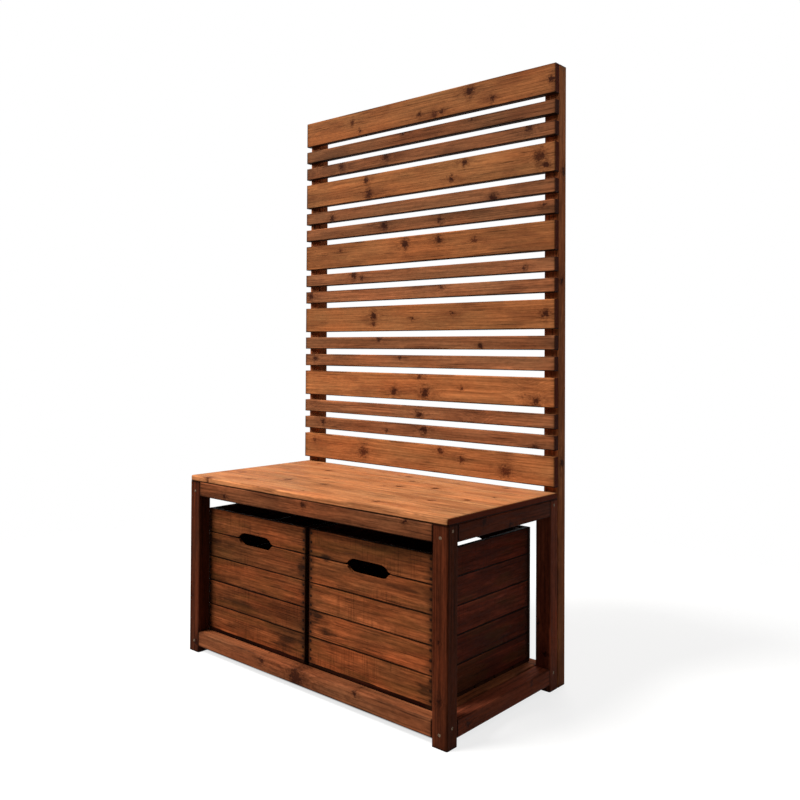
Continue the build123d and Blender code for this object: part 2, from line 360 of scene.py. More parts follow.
def make_timber():
    """Solid wood: rings round a pith, fibres, blotches, knots, end grain and worn edges."""
    inputs = {name: "Vector" for name in ("Grain", "Facing", "Half", "Offset")}
    floats = ("Tilt", "Pith Across", "Pith Deep", "Ring", "Contrast", "Figure", "Shade Line", "Above")
    inputs.update({name: "Float" for name in floats + KNOT_CHAIN})
    inputs.update({name: "Color" for name in ("Light", "Deep", "Stain")})
    outputs = {"Colour": "Color", "Roughness": "Float", "Height": "Float"}
    tree, given, result = new_group("timber", inputs, outputs)
    seeded = vector(tree, "ADD", given["Grain"], given["Offset"])
    along, across, deep = split(tree, given["Grain"])
    stain = given["Stain"]
    dark = given["Dark"]

    # Growth rings: distance from a pith that leans through the board, bent by slow waves and by knots
    lean = product(tree, along, given["Tilt"])
    from_pith = calc(tree, "SUBTRACT", calc(tree, "SUBTRACT", across, given["Pith Across"]), lean)
    from_deep = calc(tree, "SUBTRACT", deep, given["Pith Deep"])
    distance = hypotenuse(tree, from_pith, from_deep)
    ring_noises = wood_noises(tree, seeded, RING_NOISES)
    waves = [scaled(tree, ring_noises[name], -height, height) for name, height in RING_WAVES.items()]
    count = calc(tree, "DIVIDE", total(tree, distance, *waves, given["Warp"]), given["Ring"])
    drifting = {"W": count, "Scale": RING_DRIFT_SCALE}
    uneven = add(tree, "ShaderNodeTexNoise", drifting, noise_dimensions="1D").outputs[0]
    ring = calc(tree, "FRACT", total(tree, count, product(tree, uneven, RING_DRIFT)))
    late = product(tree, mark(tree, ring, "late_wood"), mark(tree, ring, "ring_end"))

    # Fibres, streaks, bands and blotches
    noises = wood_noises(tree, seeded, TIMBER_NOISES)
    fibre, streak, blotch = [noises[name] for name in ("fibre", "streak", "blotch")]
    check = product(tree, mark(tree, noises["hair"], "hair"), mark(tree, blotch, "open_grain"))
    colour = mix(tree, product(tree, late, given["Contrast"]), given["Light"], given["Deep"])
    figure = total(tree, *[sway(tree, noises[name], half) for name, half in FIGURE.items()])
    colour = lightened(tree, colour, figure, given["Figure"])
    warmth = mix(tree, spread(tree, noises["drift"], 0.0, 1.0), WARMER, COOLER)
    colour = vector(tree, "MULTIPLY", colour, warmth)
    stained = mark(tree, total(tree, blotch, sway(tree, streak, STAIN_SWAY)), "stain")
    colour = covered(tree, colour, stained, "stain", stain)
    colour = covered(tree, colour, check, "check", CHECK_COLOUR)

    # Knots: smears along and across the grain, a ringed heart and a dark ragged rim
    ragged = sway(tree, noises["ragged"], KNOT_RAG)
    patchy = spread(tree, noises["patchy"], 0.0, 1.0)
    near, to_tail, to_spike = [total(tree, given[name], ragged) for name in ("Near", "Tail", "Spike")]
    halo = product(tree, mark(tree, near, "halo"), dark)
    tail = product(tree, mark(tree, to_tail, "tail"), dark, patchy)
    spike = product(tree, mark(tree, to_spike, "spike"), dark, dark, patchy)
    colour = covered(tree, colour, halo, "halo", stain)
    colour = covered(tree, colour, tail, "tail", shade(tree, stain, TAIL_DARK))
    colour = covered(tree, colour, spike, "spike", shade(tree, stain, SPIKE_DARK))
    heart_ring = step(tree, calc(tree, "PINGPONG", near, HEART_RING), 0.0, HEART_RING)
    heart = mix(tree, heart_ring, shade(tree, stain, HEART_DARK), stain)
    heart = mix(tree, mark(tree, dark, "black_heart"), heart, HEART_COLOUR)
    core = product(tree, mark(tree, near, "core"), mark(tree, dark, "true_knot"))
    colour = covered(tree, colour, core, "core", heart)
    round_heart = product(tree, mark(tree, near, "rim_inside"), mark(tree, near, "rim_outside"))
    rim = product(tree, round_heart, mark(tree, dark, "rim_strength"), patchy)
    colour = covered(tree, colour, rim, "rim", RIM_COLOUR)

    # Edges: worn lighter in places and soiled in others, darker near the ends, a painted shade line at
    # the ends where they meet other parts, dark end grain
    to_end, to_side, to_face = [
        calc(tree, "SUBTRACT", size, calc(tree, "ABSOLUTE", value))
        for size, value in zip(split(tree, given["Half"]), (along, across, deep))
    ]
    to_edge = total(tree, calc(tree, "MAXIMUM", to_side, to_face), sway(tree, streak, EDGE_SWAY))
    edge = mark(tree, to_edge, "edge")
    worn = product(tree, edge, mark(tree, blotch, "worn"))
    soiled = product(tree, edge, mark(tree, blotch, "soiled"))
    colour = lightened(tree, colour, worn, SHARES["worn"])
    colour = darkened(tree, colour, soiled, "soiled")
    near_end = mark(tree, total(tree, to_end, sway(tree, streak, END_SWAY)), "near_end")
    colour = darkened(tree, colour, near_end, "near_end")
    # Painted shade: a thin dark line at each end, where the timber meets the next part
    colour = darkened(tree, colour, mark(tree, to_end, "end_shade_line"), "end_shade_line")
    facing_end = calc(tree, "ABSOLUTE", split(tree, given["Facing"])[0])
    end_colour = shade(tree, vector(tree, "MULTIPLY", stain, END_TINT), scaled(tree, ring, *END_RINGS))
    colour = mix(tree, mark(tree, facing_end, "end_grain"), colour, end_colour)
    # Painted shade: a dark line along the under edge, where shade falls below the timber
    under = step(tree, given["Above"], given["Shade Line"], product(tree, given["Shade Line"], UNDER_SHADE_FULL))
    colour = darkened(tree, colour, under, "under")

    rough = total(tree, spread(tree, fibre, *FIBRE_ROUGHNESS), product(tree, late, LATE_ROUGHNESS))
    reliefs = ((fibre, FIBRE_RELIEF), (late, LATE_RELIEF), (streak, STREAK_RELIEF))
    raised = total(tree, *[product(tree, value, relief) for value, relief in reliefs])
    height = calc(tree, "SUBTRACT", raised, total(tree, product(tree, rim, RIM_CRACK), check))
    for name, socket in (("Colour", colour), ("Roughness", rough), ("Height", height)):
        tree.links.new(socket, result[name])
    return tree


KNOT = make_knot()
TIMBER = make_timber()

# Finishes: early wood, late wood and stain, the width of a ring, how strongly rings show, how strong the
# figure is, and how high the painted shade line along the under edge reaches
LOOKS = {
    "wide_slat_wood": (srgb(166, 103, 60), srgb(122, 68, 36), srgb(98, 49, 28),
                       3.4 * MM, 0.4, 0.75, 2.4 * MM),
    "narrow_slat_wood": (srgb(150, 94, 60), srgb(104, 60, 36), srgb(78, 42, 28),
                         3.2 * MM, 0.4, 0.85, 2.4 * MM),
    "seat_wood": (srgb(196, 129, 82), srgb(152, 88, 51), srgb(116, 59, 31),
                  3.2 * MM, 0.45, 0.75, 3.6 * MM),
    "post_wood": (srgb(186, 112, 69), srgb(128, 70, 40), srgb(92, 46, 26),
                  3.4 * MM, 0.4, 1.0, 1.0 * MM),
    "frame_wood": (srgb(134, 77, 47), srgb(90, 47, 26), srgb(68, 33, 19),
                   3.4 * MM, 0.45, 1.0, 2.4 * MM),
    "side_wood": (srgb(134, 67, 44), srgb(90, 40, 25), srgb(68, 28, 19),
                  3.4 * MM, 0.45, 1.0, 2.4 * MM),
    "leg_wood": (srgb(80, 37, 20), srgb(48, 20, 10), srgb(42, 16, 8),
                 3.4 * MM, 0.4, 1.2, 1.0 * MM),
    "crate_wood": (srgb(138, 78, 45), srgb(98, 51, 28), srgb(66, 35, 18),
                   4.2 * MM, 0.4, 1.0, 1.0 * MM),
}

# Which world axes run along, across and through a board
SLAT_AXES = (0, 2, 1)
SEAT_AXES = (0, 1, 2)
DEPTH_AXES = (1, 2, 0)
LEG_AXES = (2, 0, 1)
POST_AXES = (2, 1, 0)

# Gloss and bump, the range of tones among boards, how far apart their noise is taken, and their piths
TIMBER_SPECULAR = 0.02
BUMP_STRENGTH = 0.6
TIMBER_BUMP = 0.7 * MM
TONE_RANGE = (0.92, 1.08)
SEED_SPAN = 20
MOST_TILT = 0.015
PITH_ACROSS = 1.2
PITH_DEPTHS = (12 * MM, 60 * MM)

# Knots: a distance at which none shows, their ragged outlines, and the small ones that are strewn over a
# timber, within shares of its length and width and with radii in millimetres
FAR = 99.0
WOBBLE_CELLS = 120.0
WOBBLE_DETAIL = 3.0
WOBBLE_MIDDLE = (0.5, 0.5, 0.5)
WOBBLE_REACH = (22 * MM, 18 * MM, 0)
STREWN_ALONG = 0.46
STREWN_ACROSS = 0.4
STREWN_RADII = (2.5, 5)
STREWN_STRENGTHS = (0.5, 0.95)


def turned(tree, value, axes):
    """A vector with its axes in another order."""
    parts = split(tree, value)
    return add(tree, "ShaderNodeCombineXYZ", {i: parts[axis] for i, axis in enumerate(axes)}).outputs[0]


def new_material(name):
    """A material with nodes, as the material, its tree and its shader."""
    material = bpy.data.materials.new(name)
    material.use_nodes = True
    shader = material.node_tree.nodes["Principled BSDF"]
    return material, material.node_tree, shader


def finish_shader(tree, shader, colour, roughness, height, depth, specular):
    """Joins colour, roughness and bump to a shader."""
    bump = add(tree, "ShaderNodeBump", {"Strength": BUMP_STRENGTH, "Distance": depth, "Height": height})
    tree.links.new(colour, shader.inputs["Base Color"])
    tree.links.new(roughness, shader.inputs["Roughness"])
    tree.links.new(bump.outputs[0], shader.inputs["Normal"])
    shader.inputs["Specular IOR Level"].default_value = specular


def wood(tree, look, grain, facing, half, above, offset, dice, knots):
    """The timber group with a pith of its own and its knots, as colour, roughness and height."""
    light, deep, stain, ring, contrast, figure, shade_line = LOOKS[look]
    cells = {"Vector": grain, "Scale": WOBBLE_CELLS, "Detail": WOBBLE_DETAIL}
    wobble = add(tree, "ShaderNodeTexNoise", cells).outputs["Color"]
    shift = vector(tree, "MULTIPLY", vector(tree, "SUBTRACT", wobble, WOBBLE_MIDDLE), WOBBLE_REACH)
    place = vector(tree, "ADD", grain, shift)
    chain = {"Warp": 0.0, "Near": FAR, "Tail": FAR, "Spike": FAR, "Dark": 0.0}
    for along, across, radius, strength in knots:
        own = {"Grain": place, "Centre": (along * MM, across * MM, 0), "Radius": radius * MM}
        made = add(tree, "ShaderNodeGroup", {**own, "Strength": strength, **chain}, node_tree=KNOT)
        chain = {name: made.outputs[name] for name in KNOT_CHAIN}
    values = {
        "Grain": grain, "Facing": facing, "Half": half, "Above": above, "Offset": offset,
        "Tilt": dice.uniform(-MOST_TILT, MOST_TILT),
        "Pith Across": dice.uniform(-PITH_ACROSS, PITH_ACROSS) * half[1],
        "Pith Deep": -half[2] - dice.uniform(*PITH_DEPTHS),
        "Ring": ring, "Contrast": contrast, "Figure": figure, "Shade Line": shade_line,
        "Light": light, "Deep": deep, "Stain": stain,
    }
    return add(tree, "ShaderNodeGroup", {**values, **chain}, node_tree=TIMBER).outputs


def timber_material(node, look, axes, knots, tone=1.0, lower_shade=0.0):
    """A planed timber's finish, laid out over its node, with its own tone and, on posts, a painted shade
    near the floor.
    """
    low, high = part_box(node)
    dice = random.Random(node)
    material, tree, shader = new_material(node)
    place = add(tree, "ShaderNodeTexCoord").outputs["Object"]
    grain = turned(tree, vector(tree, "SUBTRACT", place, (low + high) / 2), axes)
    facing = turned(tree, add(tree, "ShaderNodeNewGeometry").outputs["Normal"], axes)
    half = [(high[axis] - low[axis]) / 2 for axis in axes]
    offset = [dice.uniform(0, SEED_SPAN) for _ in axes]
    above = calc(tree, "SUBTRACT", split(tree, place)[2], low[2])
    colour, roughness, height = wood(tree, look, grain, facing, half, above, offset, dice, knots)
    tone = tone * dice.uniform(*TONE_RANGE)
    # Painted shade: a post is darker from about seat height down to the floor
    if lower_shade:
        tone = product(tree, less(tree, mark(tree, above, "lower_post_shade"), lower_shade), tone)
    toned = shade(tree, colour, tone)
    finish_shader(tree, shader, toned, roughness, height, TIMBER_BUMP, TIMBER_SPECULAR)
    return material


def dress(node, material):
    """Gives a node its finish."""
    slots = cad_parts[node].data.materials
    slots.clear()
    slots.append(material)


def few_knots(node, count):
    """Small knots strewn over a timber, as places along and across it, radius and strength."""
    low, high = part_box(node)
    wide, long = sorted(high - low)[1:]
    dice = random.Random(f"{node} knots")
    knots = []
    for _ in range(count):
        along = dice.uniform(-STREWN_ALONG, STREWN_ALONG) * long / MM
        across = dice.uniform(-STREWN_ACROSS, STREWN_ACROSS) * wide / MM
        radius = dice.uniform(*STREWN_RADII)
        knots.append((along, across, radius, dice.uniform(*STREWN_STRENGTHS)))
    return knots


# Knots of the slats by number: along, up and radius in millimetres, and strength; the weakest are
# mere smudges
SLAT_KNOTS = {
    1: [(-180, -4, 9, 0.7), (280, -11, 10, 0.7), (85, 23, 5, 0.8), (150, 6, 5, 0.8), (-370, 18, 4, 0.7)],
    2: [(-335, 5, 5, 0.8), (30, 7, 6, 0.95), (-95, -5, 3, 0.6), (360, -14, 4, 0.9)],
    3: [(15, -6, 6, 0.95), (-380, 6, 10, 0.4), (200, 2, 12, 0.3)],
    4: [(35, -14, 8, 1.0), (-70, -15, 6, 1.0), (360, -21, 7, 1.0), (15, 29, 4, 0.8), (150, 1, 3, 0.8),
        (340, 24, 14, 0.4)],
    5: [(-50, 10, 3, 0.7), (-370, 4, 5, 0.8)],
    6: [(-125, 11, 4, 0.8), (205, -9, 4, 0.95)],
    7: [(-145, 7, 7, 1.0), (385, 1, 6, 1.0), (-145, -15, 4, 0.8), (-10, -2, 3, 0.9), (120, 8, 3, 0.9)],
    8: [(-390, 4, 6, 0.95), (85, 10, 4, 0.6)],
    9: [(-220, 8, 6, 0.95), (-190, -2, 3, 0.8), (330, -5, 4, 0.7)],
    10: [(-35, 16, 7, 1.0), (75, 17, 6, 1.0), (185, 7, 5, 0.6), (-270, 15, 4, 0.6), (-392, -4, 14, 0.4)],
    11: [(-110, 1, 7, 1.0), (80, 1, 5, 0.9), (380, 5, 3, 0.8)],
    12: [(240, -11, 6, 0.95), (-305, -5, 5, 0.8)],
    13: [(-165, -20, 7, 1.0), (-175, 21, 5, 0.95), (368, 6, 9, 0.85), (385, -18, 6, 1.0),
         (155, 23, 5, 1.0), (115, -14, 4, 1.0), (-395, -10, 12, 0.4)],
    14: [(-270, 4, 7, 0.7), (-105, 6, 6, 0.8), (340, 9, 7, 0.7), (-395, 0, 12, 0.4)],
    15: [(-45, 13, 4, 0.6), (175, 11, 3, 0.9)],
    16: [(170, 16, 8, 1.0), (235, -16, 5, 0.9), (400, -2, 5, 0.95), (10, -16, 4, 0.9), (85, -20, 4, 0.9),
         (60, -24, 6, 0.7), (-230, 8, 5, 0.7), (-200, -22, 3, 0.9)],
}

# Knots of the seat boards by number from the front, and of frame timbers, in the same way
SEAT_KNOTS = {
    1: [(185, 5, 5, 0.8), (-250, 20, 4, 0.7), (-340, -40, 5, 0.8)],
    2: [(-355, -3, 5, 0.7), (-175, -3, 6, 0.8), (-60, 7, 5, 0.8), (260, 15, 4, 0.7)],
    3: [(90, 29, 6, 0.8), (315, -16, 5, 0.7), (-120, -10, 4, 0.7)],
    4: [(-215, 11, 5, 0.8), (170, -24, 6, 0.8), (65, 26, 5, 0.7)],
    5: [(-330, 5, 5, 0.7), (10, -12, 5, 0.8), (290, 14, 5, 0.7)],
}
FRAME_KNOTS = {
    "front_bottom_rail": [(-12, 0, 13, 1.0), (-130, 7, 4, 0.95), (168, 12, 3, 0.9)],
    "front_top_rail": [(-271, -6, 3, 0.9), (8, 10, 4, 0.8), (302, 12, 3, 0.9)],
    "right_post": [(492, 5, 6, 1.0), (227, -3, 5, 1.0), (-214, 0, 6, 1.0)],
}

# How many small knots are strewn over each kind of timber
SEAT_STREWN = 1
SHORT_STREWN = 2
RAIL_STREWN = 3
POST_STREWN = 4

# Planed timbers; the screen is painted a little darker towards its top as shade, and some slats stand
# out
SLATS_IN_GROUP = 3
SCREEN_SHADE_TONES = (1.02, 0.78)
SLAT_TONES = {2: 0.8, 4: 1.1, 5: 1.08, 6: 0.92, 7: 0.93, 8: 1.18, 9: 1.1, 13: 1.06, 15: 0.86, 16: 1.1}
SEAT_TONE = 0.95
# The top side rails are painted much darker than the bottom ones, as shade under the seat
SIDE_RAIL_SHADE_TONES = {"top": 0.42, "bottom": 1.05}
LEG_LOOKS = {"front": ("leg_wood", 1.0), "rear": ("side_wood", 1.05)}
# How much darker the posts are painted low down, as shade
POST_LOWER_SHADE = 0.4
FRONT_RAIL_TONES = {"front_top_rail": 0.8, "front_bottom_rail": 1.05}
for number, knots in SLAT_KNOTS.items():
    look = "narrow_slat_wood" if (number - 1) % SLATS_IN_GROUP else "wide_slat_wood"
    node = f"screen_slat_{number:02d}"
    # Painted shade: each slat is darker the higher it stands in the screen
    share = (number - 1) / (len(SLAT_KNOTS) - 1)
    tone = SCREEN_SHADE_TONES[0] + (SCREEN_SHADE_TONES[1] - SCREEN_SHADE_TONES[0]) * share
    dress(node, timber_material(node, look, SLAT_AXES, knots, tone * SLAT_TONES.get(number, 1.0)))
for number, knots in SEAT_KNOTS.items():
    node = f"seat_board_{number}"
    knots = knots + few_knots(node, SEAT_STREWN)
    dress(node, timber_material(node, "seat_wood", SEAT_AXES, knots, SEAT_TONE))
for side in ("left", "right"):
    node = f"{side}_post"
    knots = FRAME_KNOTS.get(node) or few_knots(node, POST_STREWN)
    dress(node, timber_material(node, "post_wood", POST_AXES, knots, lower_shade=POST_LOWER_SHADE))
    for end in ("front", "rear"):
        node = f"{end}_{side}_leg"
        look, tone = LEG_LOOKS[end]
        dress(node, timber_material(node, look, LEG_AXES, few_knots(node, SHORT_STREWN), tone))
    for level in ("top", "bottom"):
        node = f"{side}_{level}_rail"
        knots = few_knots(node, SHORT_STREWN)
        dress(node, timber_material(node, "side_wood", DEPTH_AXES, knots, SIDE_RAIL_SHADE_TONES[level]))
    for crate in ("left_crate", "right_crate"):
        node = f"{crate}_{side}_runner"
        dress(node, timber_material(node, "frame_wood", DEPTH_AXES, few_knots(node, SHORT_STREWN)))
for level in ("top", "bottom"):
    for end in ("front", "rear"):
        node = f"{end}_{level}_rail"
        knots = FRAME_KNOTS.get(node) or few_knots(node, RAIL_STREWN)
        tone = FRONT_RAIL_TONES.get(node, 1.0)
        dress(node, timber_material(node, "frame_wood", SLAT_AXES, knots, tone))
knots = few_knots("seat_bearer", SHORT_STREWN)
dress("seat_bearer", timber_material("seat_bearer", "frame_wood", DEPTH_AXES, knots))

# Crates: boards in a wall, the gaps between them, and the nails at each end of a board
CRATE_ROWS = 5
WALL_GAP = 0.8 * MM
FLOOR_GAP = 4 * MM
NAIL_FROM_END = 4.5 * MM
NAILS_PER_END = 3

# Tones of a wall's boards from the lowest up; sides and floors are painted darker and redder as shade,
# and the right crate's right side darker still as shade
SHADE_WALL_TONES = (0.6, 0.5, 0.52, 0.62, 0.54)
SHADE_WALL_TINT = (1.05, 0.76, 1.25)
BOARD_TONES = {
    "left_crate_front_boards": (0.76, 0.6, 0.76, 0.64, 0.88),
    "right_crate_front_boards": (0.98, 0.96, 1.0, 0.94, 0.82),
    "left_crate_back_boards": (0.72, 0.62, 0.7, 0.6, 0.76),
    "right_crate_back_boards": (0.66, 0.74, 0.62, 0.72, 0.64),
    # painted shade: the right crate's right side
    "right_crate_right_side_boards": (0.36, 0.36, 0.72, 0.56, 0.5),
}

# Dark stains: along, up, half length and half height in millimetres, and strength
STAINS = {
    "left_crate_front_boards": [(162, 58, 18, 18, 0.9), (116, -128, 44, 24, 0.8),
                                (-150, 70, 24, 10, 0.6), (-60, -72, 60, 10, 0.5)],
    "right_crate_front_boards": [(-152, -46, 20, 14, 0.9), (-126, -74, 30, 14, 0.95),
                                 (-125, 98, 18, 8, 0.9), (100, 74, 48, 10, 0.6),
                                 (156, -132, 20, 22, 0.7)],
}

# Colours of the weather on the crates, how ragged its marks are, and the relief of rough boards
REDDER = (1.22, 1.02, 0.92, 1)
DULLER = (0.7, 0.76, 0.72, 1)
CLOUD_COLOUR = srgb(84, 54, 24)
GRIME_COLOUR = srgb(48, 24, 12)
PATCH_COLOUR = srgb(38, 22, 13)
DAMP_COLOUR = srgb(50, 28, 16)
RUST_COLOUR = srgb(26, 12, 7)
PATCH_RAG = 0.7
JOINT_SWAY = 0.6 * MM
DAMP_SWAY = 14 * MM
# How strong the painted highlight along each board's top edge is at most
TOP_HIGHLIGHT_MOST = 0.5
ROW_STRIDE = (7.31, 4.17, 5.53)
CRATE_RELIEF = 1.3
SAW_RELIEF = 0.6
CRATE_BUMP = 1.0 * MM


def board_tones(tree, row, tones):
    """A number for each row of boards."""
    middle_of_row = calc(tree, "DIVIDE", calc(tree, "ADD", row, 0.5), CRATE_ROWS)
    ramp = add(tree, "ShaderNodeValToRGB", {0: middle_of_row})
    ramp.color_ramp.interpolation = "CONSTANT"
    while len(ramp.color_ramp.elements) < len(tones):
        ramp.color_ramp.elements.new(0.5)
    for number, (stop, tone) in enumerate(zip(ramp.color_ramp.elements, tones)):
        stop.position = number / len(tones)
        stop.color = (tone, tone, tone, 1)
    return ramp.outputs[0]


def crate_material(node, low, high, axes, gap, nailed):
    """Rough, weathered boards laid side by side across a wall, each with its own grain and tone."""
    dice = random.Random(node)
    material, tree, shader = new_material(f"{node}_rough")
    length, span, thickness = [high[axis] - low[axis] for axis in axes]
    pitch = (span + gap) / CRATE_ROWS
    half = (length / 2, (pitch - gap) / 2, thickness / 2)
    place = add(tree, "ShaderNodeTexCoord").outputs["Object"]
    from_middle = turned(tree, vector(tree, "SUBTRACT", place, (low + high) / 2), axes)
    along, across, deep = split(tree, from_middle)
    rows_up = calc(tree, "ADD", calc(tree, "DIVIDE", across, pitch), CRATE_ROWS / 2)
    row = calc(tree, "FLOOR", rows_up)
    share = calc(tree, "FRACT", rows_up)
    local = product(tree, calc(tree, "SUBTRACT", share, 0.5), pitch)
    grain = add(tree, "ShaderNodeCombineXYZ", {0: along, 1: local, 2: deep}).outputs[0]
    facing = turned(tree, add(tree, "ShaderNodeNewGeometry").outputs["Normal"], axes)
    start = [dice.uniform(0, SEED_SPAN) for _ in axes]
    strides = {0: ROW_STRIDE, "Scale": row}
    moved = add(tree, "ShaderNodeVectorMath", strides, operation="SCALE").outputs["Vector"]
    offset = vector(tree, "ADD", moved, start)
    colour, roughness, height = wood(tree, "crate_wood", grain, facing, half, FAR, offset, dice, ())
    noises = wood_noises(tree, vector(tree, "ADD", grain, offset), CRATE_NOISES)
    cloud, grime = noises["cloud"], noises["grime"]

    # Each board's own tone, which on the sides and floors is painted shade, faint saw marks across it,
    # and weather stains
    colour = shade(tree, colour, board_tones(tree, row, BOARD_TONES.get(node, SHADE_WALL_TONES)))
    # Painted shade: sides and floors are tinted redder as well as darker
    if not nailed:
        colour = vector(tree, "MULTIPLY", colour, SHADE_WALL_TINT)
    saw = product(tree, mark(tree, noises["kerf"], "kerf"), mark(tree, noises["sawn"], "sawn"))
    colour = darkened(tree, colour, saw, "saw")
    blush = mix(tree, spread(tree, noises["blush"], 0.0, 1.0), REDDER, DULLER)
    colour = vector(tree, "MULTIPLY", colour, blush)
    colour = covered(tree, colour, mark(tree, cloud, "cloud"), "cloud", CLOUD_COLOUR)
    colour = covered(tree, colour, mark(tree, grime, "grime"), "grime", GRIME_COLOUR)
    colour = lightened(tree, colour, mark(tree, noises["rub"], "rub"), SHARES["rub"])
    for patch_along, patch_up, half_length, half_height, strength in STAINS.get(node, ()):
        off = vector(tree, "SUBTRACT", from_middle, (patch_along * MM, patch_up * MM, 0))
        squash = (1 / (half_length * MM), 1 / (half_height * MM), 0)
        reach = vector(tree, "LENGTH", vector(tree, "MULTIPLY", off, squash))
        patch = mark(tree, total(tree, reach, sway(tree, grime, PATCH_RAG)), "patch")
        colour = mix(tree, product(tree, patch, strength), colour, PATCH_COLOUR)

    # Dark lines along the joints, a painted highlight along each board's top edge, dark ends, and rust
    # round the nails
    to_joint = calc(tree, "SUBTRACT", half[1], calc(tree, "ABSOLUTE", local))
    joint = mark(tree, total(tree, to_joint, sway(tree, grime, JOINT_SWAY)), "joint")
    # Painted highlight: a lighter strip along each board's top edge, stronger in patches
    top_highlight = mark(tree, calc(tree, "SUBTRACT", half[1], local), "top_edge_highlight")
    colour = lightened(tree, colour, top_highlight, spread(tree, cloud, 0.0, TOP_HIGHLIGHT_MOST))
    colour = darkened(tree, colour, joint, "joint")
    to_end = calc(tree, "SUBTRACT", half[0], calc(tree, "ABSOLUTE", along))
    damp = mark(tree, total(tree, to_end, sway(tree, cloud, DAMP_SWAY)), "damp")
    colour = covered(tree, colour, damp, "damp", DAMP_COLOUR)
    if nailed:
        nail_share = calc(tree, "FRACT", product(tree, share, NAILS_PER_END))
        off_across = product(tree, calc(tree, "SUBTRACT", nail_share, 0.5), pitch / NAILS_PER_END)
        off_along = calc(tree, "SUBTRACT", to_end, NAIL_FROM_END)
        rust = mark(tree, hypotenuse(tree, off_along, off_across), "rust")
        colour = covered(tree, colour, rust, "rust", RUST_COLOUR)
    height = calc(tree, "SUBTRACT", product(tree, height, CRATE_RELIEF), product(tree, saw, SAW_RELIEF))
    finish_shader(tree, shader, colour, roughness, height, CRATE_BUMP, TIMBER_SPECULAR)
    return material


# Hand hole on the joint under the top board: half its length, half its straight part and half its height
HOLE_TIP = 61 * MM
HOLE_FLAT = 37 * MM
HOLE_RISE = 16 * MM
HOLE_ARC_STEPS = 8

# Rough boards: how far and how often to the metre their edges wander, how far they run past the corners,
# their bevel, and how far their faces wander
EDGE_SPACING = 13 * MM
EDGE_WANDER = 0.25 * MM
EDGE_WAVES = 23
EDGE_SEEDS = 500
END_OVER = 0.9 * MM
PLANK_BEVEL = 0.5 * MM
BEVEL_STEPS = 2
BEVEL_ROUND = 0.5
FACE_WANDER = 0.15 * MM


def notch():
    """Half of the hand hole, as places along the board and depths into it."""
    reach = HOLE_TIP - HOLE_FLAT
    radius = (reach**2 + HOLE_RISE**2) / (2 * HOLE_RISE)
    widest = math.asin(reach / radius)
    arc = [widest * i / HOLE_ARC_STEPS for i in range(HOLE_ARC_STEPS + 1)]
    right = [(HOLE_FLAT + radius * math.sin(a), HOLE_RISE - radius * (1 - math.cos(a))) for a in arc]
    left = [(-s, depth) for s, depth in reversed(right)]
    return [(s, depth - WALL_GAP / 2) for s, depth in left + right if depth > WALL_GAP]


def rough_edge(length, dice, cut, butted):
    """One long edge of a plank from its left end to its right, as places along it and depths into it.

    A cut edge has half the hand hole, and the ends of a butted one touch the next plank.
    """
    seed = dice.uniform(0, EDGE_SEEDS)
    count = round(length / EDGE_SPACING)
    points = []
    for i in range(count + 1):
        s = length * (i / count - 0.5)
        wave = 0.5 + 0.5 * noise.noise(Vector((s * EDGE_WAVES, seed, 0)))
        points.append((s, EDGE_WANDER * wave))
    if cut:
        points = [p for p in points if abs(p[0]) > HOLE_TIP]
        middle = sum(p[0] < 0 for p in points)
        points[middle:middle] = notch()
    if butted:
        for end in (0, -1):
            points[end] = (points[end][0], -WALL_GAP / 2)
    return points


def plank(low, high, width, thickness, dice):
    """A rough-sawn board between two edges, as a mesh along X, across Y from 0 and through Z."""
    outline = low + [(s, width - depth) for s, depth in reversed(high)]
    shape = bmesh.new()
    levels = [side * (thickness / 2 - dice.uniform(0, FACE_WANDER)) for side in (-1, 1)]
    rings = [[shape.verts.new((s, t, h)) for s, t in outline] for h in levels]
    faces = [shape.faces.new(ring) for ring in rings]
    rim = [edge for face in faces for edge in face.edges if edge.verts[0].co.x != edge.verts[1].co.x]
    for i in range(len(outline)):
        j = (i + 1) % len(outline)
        shape.faces.new((rings[0][i], rings[0][j], rings[1][j], rings[1][i]))
    rounding = {"offset": PLANK_BEVEL, "segments": BEVEL_STEPS, "profile": BEVEL_ROUND}
    bmesh.ops.bevel(shape, geom=rim, affect="EDGES", **rounding)
    return shape


def new_piece(name, shape):
    """An object in the scene from a finished shape."""
    mesh = bpy.data.meshes.new(name)
    shape.to_mesh(mesh)
    shape.free()
    piece = bpy.data.objects.new(name, mesh)
    scene.collection.objects.link(piece)
    return piece


def plank_wall(crate, wall, axes, gap, cut):
    """The boards of one crate wall, in the place of their node."""
    node = f"{crate}_{wall}"
    low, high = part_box(node)
    dice = random.Random(f"{node} planks")
    length, span, thickness = [high[axis] - low[axis] for axis in axes]
    if cut:
        length += 2 * END_OVER
    pitch = (span + gap) / CRATE_ROWS
    top_row = CRATE_ROWS - 1
    middle = (low + high) / 2
    whole = bmesh.new()
    for row in range(CRATE_ROWS):
        low_edge = rough_edge(length, dice, cut and row == top_row, cut and row > 0)
        high_edge = rough_edge(length, dice, cut and row == top_row - 1, cut and row < top_row)
        board = plank(low_edge, high_edge, pitch - gap, thickness, dice)
        for vert in board.verts:
            s, t, h = vert.co
            places = (middle[axes[0]] + s, low[axes[1]] + row * pitch + t, middle[axes[2]] + h)
            for axis, place in zip(axes, places):
                vert.co[axis] = place
        bmesh.ops.recalc_face_normals(board, faces=board.faces)
        single = bpy.data.meshes.new("board")
        board.to_mesh(single)
        board.free()
        whole.from_mesh(single)
        bpy.data.meshes.remove(single)
    piece = new_piece(f"{crate}_{wall}_planks", whole)
    piece.data.materials.append(crate_material(node, low, high, axes, gap, cut))
    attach(piece, crate)
    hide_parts(node)


